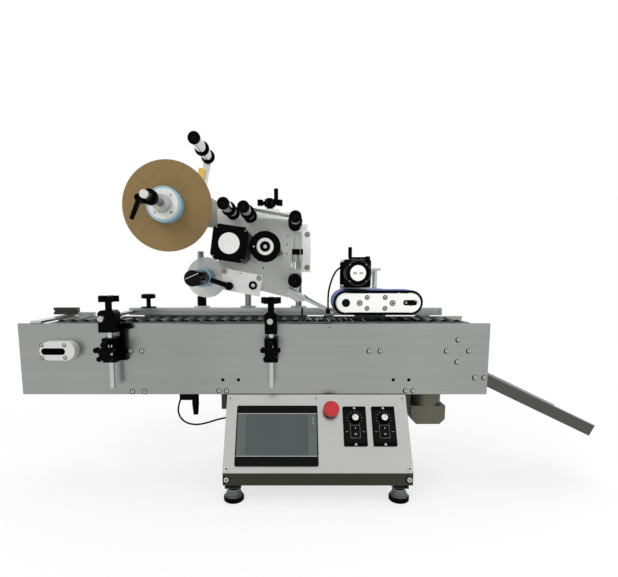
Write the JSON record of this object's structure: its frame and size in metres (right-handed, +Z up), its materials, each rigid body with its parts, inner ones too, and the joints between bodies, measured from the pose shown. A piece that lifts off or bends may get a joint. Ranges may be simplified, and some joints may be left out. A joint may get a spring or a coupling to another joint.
{
  "type": "horizontal labeling machine",
  "caption": "Tabletop labeling machine: roller chain in a steel beam, label head with reel on posts, belt press, side guides, sloped control box on feet and an outfeed chute.",
  "frame": {"origin": "floor level, at the middle of the machine's box seen from above", "axes": "+X along the beam towards the outfeed, +Y away from the operator, +Z up"},
  "size_m": [1.4926, 0.403, 0.8803],
  "materials": {
    "aluminium": "satin",
    "black_plastic": "satin",
    "black_rubber": "matte",
    "board": "matte",
    "brushed_steel": "brushed",
    "chrome": "polished",
    "dark_steel": "satin",
    "motor": "satin",
    "red_plastic": "gloss",
    "white_paint": "satin"
  },
  "bodies": {
    "machine": {"front_wall": "brushed_steel", "rear_wall": "brushed_steel", "cross_members": "brushed_steel", "screws": "chrome", "roller_chain": "black_plastic", "chain_tensioner": "white_paint", "infeed_fittings": "aluminium", "outfeed_rail": "aluminium", "rear_decks": "aluminium", "posts": "chrome", "guide_brackets": "black_plastic", "control_box": "brushed_steel", "control_panel": "brushed_steel", "panel_fittings": "black_plastic", "box_brackets": "brushed_steel", "levelling_feet": "chrome", "outfeed_chute": "dark_steel", "drive_gearmotor": "aluminium", "box_cable": "black_rubber"},
    "drive_wheels": {"drive_shaft": "brushed_steel"},
    "idler_wheels": {"idler_shaft": "brushed_steel"},
    "lift": {"guide_lift": "chrome"},
    "side_guide": {"guide_rail": "aluminium"},
    "head": {"head_plate": "white_paint", "head_housing": "aluminium", "reel_arm": "white_paint", "head_motor": "motor", "nip_block": "white_paint", "peel_plate": "aluminium", "label_sensor": "black_plastic"},
    "dancer": {"dancer_arm": "white_paint"},
    "reel": {"label_reel": "board", "reel_hub": "aluminium"},
    "press": {"press_frame": "aluminium", "press_belt": "black_rubber", "press_motor": "motor", "sensor_cable": "black_rubber"},
    "top_knob_a_body": {"top_knob_a": "black_plastic"},
    "top_knob_b_body": {"top_knob_b": "black_plastic"},
    "star_knob_a_body": {"star_knob_a": "black_plastic"},
    "star_knob_b_body": {"star_knob_b": "black_plastic"},
    "rear_knob_body": {"rear_knob": "black_plastic"},
    "speed_dial_a_body": {"speed_dial_a": "black_plastic"},
    "speed_dial_b_body": {"speed_dial_b": "black_plastic"},
    "rocker_a_body": {"rocker_a": "black_plastic"},
    "rocker_b_body": {"rocker_b": "black_plastic"},
    "stop_button_body": {"stop_button": "red_plastic"},
    "head_knob_body": {"head_knob": "black_plastic"},
    "reel_lever_body": {"reel_lever": "black_plastic"},
    "drive_roller_body": {"drive_roller": "black_plastic"},
    "clip_lever_body": {"clip_lever": "black_plastic"},
    "rewinder_body": {"rewinder": "black_plastic"},
    "press_pulley_a_body": {"press_pulley_a": "aluminium"},
    "press_pulley_b_body": {"press_pulley_b": "aluminium"},
    "press_crank_body": {"press_crank": "black_plastic"},
    "guide_roller_a_body": {"guide_roller_a": "aluminium"},
    "guide_roller_b_body": {"guide_roller_b": "aluminium"},
    "guide_roller_c_body": {"guide_roller_c": "aluminium"},
    "guide_roller_d_body": {"guide_roller_d": "aluminium"},
    "dancer_roller_body": {"dancer_roller": "aluminium"}
  },
  "joints": [
    {"name": "drive_spin", "type": "hinge", "parent": "machine", "child": "drive_wheels", "pos_m": [0.37566, -0.0245, 0.3618], "axis": [0, 1, 0], "continuous": true},
    {"name": "idler_spin", "type": "hinge", "parent": "machine", "child": "idler_wheels", "pos_m": [-0.64034, -0.0245, 0.3618], "axis": [0, 1, 0], "continuous": true},
    {"name": "guide_lift_slide", "type": "slide", "parent": "machine", "child": "lift", "axis": [0, 0, 1], "range_m": [0, 0.02]},
    {"name": "guide_rail_slide", "type": "slide", "parent": "lift", "child": "side_guide", "axis": [0, 1, 0], "range_m": [-0.1, 0]},
    {"name": "top_knob_a_turn", "type": "hinge", "parent": "lift", "child": "top_knob_a_body", "pos_m": [-0.49734, -0.0575, 0.469], "axis": [0, 0, 1], "range_deg": [-180, 180]},
    {"name": "star_knob_a_turn", "type": "hinge", "parent": "machine", "child": "star_knob_a_body", "pos_m": [-0.49734, -0.0745, 0.37], "axis": [0, 1, 0], "range_deg": [-180, 180]},
    {"name": "top_knob_b_turn", "type": "hinge", "parent": "lift", "child": "top_knob_b_body", "pos_m": [-0.09934, -0.0575, 0.465], "axis": [0, 0, 1], "range_deg": [-180, 180]},
    {"name": "star_knob_b_turn", "type": "hinge", "parent": "machine", "child": "star_knob_b_body", "pos_m": [-0.09934, -0.0745, 0.37], "axis": [0, 1, 0], "range_deg": [-180, 180]},
    {"name": "rear_knob_turn", "type": "hinge", "parent": "side_guide", "child": "rear_knob_body", "pos_m": [-0.45434, 0.1155, 0.461], "axis": [0, 0, 1], "range_deg": [-180, 180]},
    {"name": "speed_dial_a_turn", "type": "hinge", "parent": "machine", "child": "speed_dial_a_body", "pos_m": [0.10991, -0.05868, 0.1918], "axis": [0, -0.848, 0.5299], "range_deg": [-150, 150]},
    {"name": "rocker_a_tilt", "type": "hinge", "parent": "machine", "child": "rocker_a_body", "pos_m": [0.10991, -0.08098, 0.168], "axis": [1, 0, 0], "range_deg": [-6, 6]},
    {"name": "speed_dial_b_turn", "type": "hinge", "parent": "machine", "child": "speed_dial_b_body", "pos_m": [0.18291, -0.05868, 0.1918], "axis": [0, -0.848, 0.5299], "range_deg": [-150, 150]},
    {"name": "rocker_b_tilt", "type": "hinge", "parent": "machine", "child": "rocker_b_body", "pos_m": [0.18291, -0.08098, 0.168], "axis": [1, 0, 0], "range_deg": [-6, 6]},
    {"name": "stop_push", "type": "slide", "parent": "machine", "child": "stop_button_body", "axis": [0, 0.848, -0.5299], "range_m": [0, 0.004], "stiffness_N_per_m": 500},
    {"name": "head_slide", "type": "slide", "parent": "machine", "child": "head", "axis": [0, 0, 1], "range_m": [-0.01, 0.06]},
    {"name": "head_knob_turn", "type": "hinge", "parent": "head", "child": "head_knob_body", "pos_m": [-0.10934, 0.1255, 0.732], "axis": [0, 0, 1], "continuous": true},
    {"name": "dancer_swing", "type": "hinge", "parent": "head", "child": "dancer", "pos_m": [-0.29634, 0.0805, 0.752], "axis": [0, 1, 0], "range_deg": [-25, 30], "stiffness_Nm_per_rad": 2, "springref_deg": -5.73},
    {"name": "dancer_roller_spin", "type": "hinge", "parent": "dancer", "child": "dancer_roller_body", "pos_m": [-0.26934, -0.0245, 0.8623], "axis": [0, 1, 0], "continuous": true},
    {"name": "guide_roller_a_spin", "type": "hinge", "parent": "head", "child": "guide_roller_a_body", "pos_m": [-0.20614, -0.0245, 0.7184], "axis": [0, 1, 0], "continuous": true},
    {"name": "guide_roller_b_spin", "type": "hinge", "parent": "head", "child": "guide_roller_b_body", "pos_m": [-0.15984, -0.0245, 0.7105], "axis": [0, 1, 0], "continuous": true},
    {"name": "guide_roller_c_spin", "type": "hinge", "parent": "head", "child": "guide_roller_c_body", "pos_m": [-0.03974, -0.0245, 0.6883], "axis": [0, 1, 0], "continuous": true},
    {"name": "guide_roller_d_spin", "type": "hinge", "parent": "head", "child": "guide_roller_d_body", "pos_m": [-0.04064, -0.0245, 0.5391], "axis": [0, 1, 0], "continuous": true},
    {"name": "reel_spin", "type": "hinge", "parent": "head", "child": "reel", "pos_m": [-0.35364, -0.0245, 0.7215], "axis": [0, 1, 0], "continuous": true},
    {"name": "reel_lever_turn", "type": "hinge", "parent": "reel", "child": "reel_lever_body", "pos_m": [-0.37094, -0.1668, 0.717], "axis": [0, 1, 0], "range_deg": [-60, 60]},
    {"name": "drive_roller_spin", "type": "hinge", "parent": "head", "child": "drive_roller_body", "pos_m": [-0.11454, -0.0245, 0.6241], "axis": [0, 1, 0], "continuous": true},
    {"name": "clip_lever_swing", "type": "hinge", "parent": "head", "child": "clip_lever_body", "pos_m": [-0.20334, -0.0245, 0.527], "axis": [0, 1, 0], "range_deg": [-45, 0]},
    {"name": "rewinder_spin", "type": "hinge", "parent": "head", "child": "rewinder_body", "pos_m": [-0.27774, -0.0245, 0.547], "axis": [0, 1, 0], "continuous": true},
    {"name": "press_slide", "type": "slide", "parent": "machine", "child": "press", "axis": [0, 0, 1], "range_m": [0, 0.04]},
    {"name": "press_pulley_a_spin", "type": "hinge", "parent": "press", "child": "press_pulley_a_body", "pos_m": [0.09096, -0.0245, 0.4824], "axis": [0, 1, 0], "continuous": true},
    {"name": "press_pulley_b_spin", "type": "hinge", "parent": "press", "child": "press_pulley_b_body", "pos_m": [0.25906, -0.0245, 0.4824], "axis": [0, 1, 0], "continuous": true},
    {"name": "press_crank_turn", "type": "hinge", "parent": "press", "child": "press_crank_body", "pos_m": [0.16896, 0.1515, 0.601], "axis": [0, 0, 1], "continuous": true}
  ],
  "couplings": [
    {"joint": "idler_spin", "follows": "drive_spin", "ratio": 1},
    {"joint": "press_pulley_b_spin", "follows": "press_pulley_a_spin", "ratio": 1}
  ]
}
